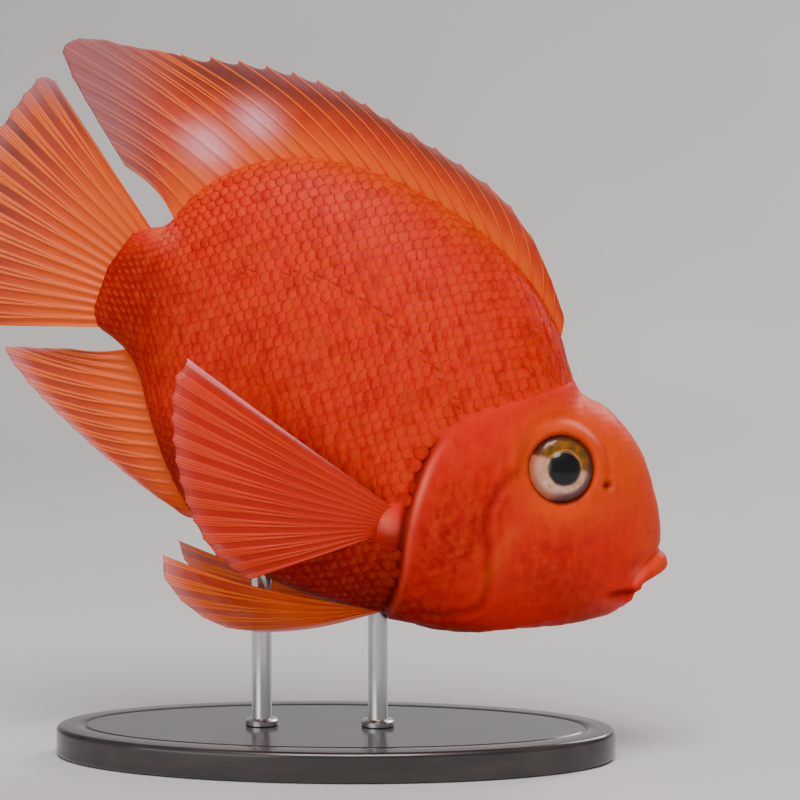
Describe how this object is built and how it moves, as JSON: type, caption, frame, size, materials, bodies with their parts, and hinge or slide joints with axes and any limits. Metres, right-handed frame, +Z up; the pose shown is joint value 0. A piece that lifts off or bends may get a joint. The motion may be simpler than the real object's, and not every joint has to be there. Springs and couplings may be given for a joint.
{
  "type": "blood parrot cichlid",
  "caption": "Life-size still blood parrot cichlid, deep red-orange body angled head down, held by two short rods over a flat oval display base.",
  "frame": {"origin": "centre of the display base's underside", "axes": "+X the way the fish's head points, along the base; +Z up; -Y the fish's right flank"},
  "size_m": [0.1729, 0.0698, 0.1657],
  "materials": {
    "skin": "wet satin skin with fine scales",
    "fin": "thin translucent membrane over rays",
    "eye": "wet gloss",
    "lacquered_base": "black lacquer, satin",
    "steel_rod": "brushed"
  },
  "bodies": {
    "root": {"trunk": "skin", "head": "skin", "lower_jaw": "skin", "gill_cover_right": "skin", "gill_cover_left": "skin", "tail_stalk": "skin", "eye_right": "eye", "eye_left": "eye", "dorsal_fin_spines": "fin", "dorsal_fin_rays": "fin", "caudal_fin": "fin", "anal_fin": "fin", "pectoral_fin_right": "fin", "pectoral_fin_left": "fin", "pelvic_fin_right": "fin", "pelvic_fin_left": "fin", "stand_base": "lacquered_base", "stand_rod_front": "steel_rod", "stand_rod_rear": "steel_rod"}
  },
  "joints": []
}
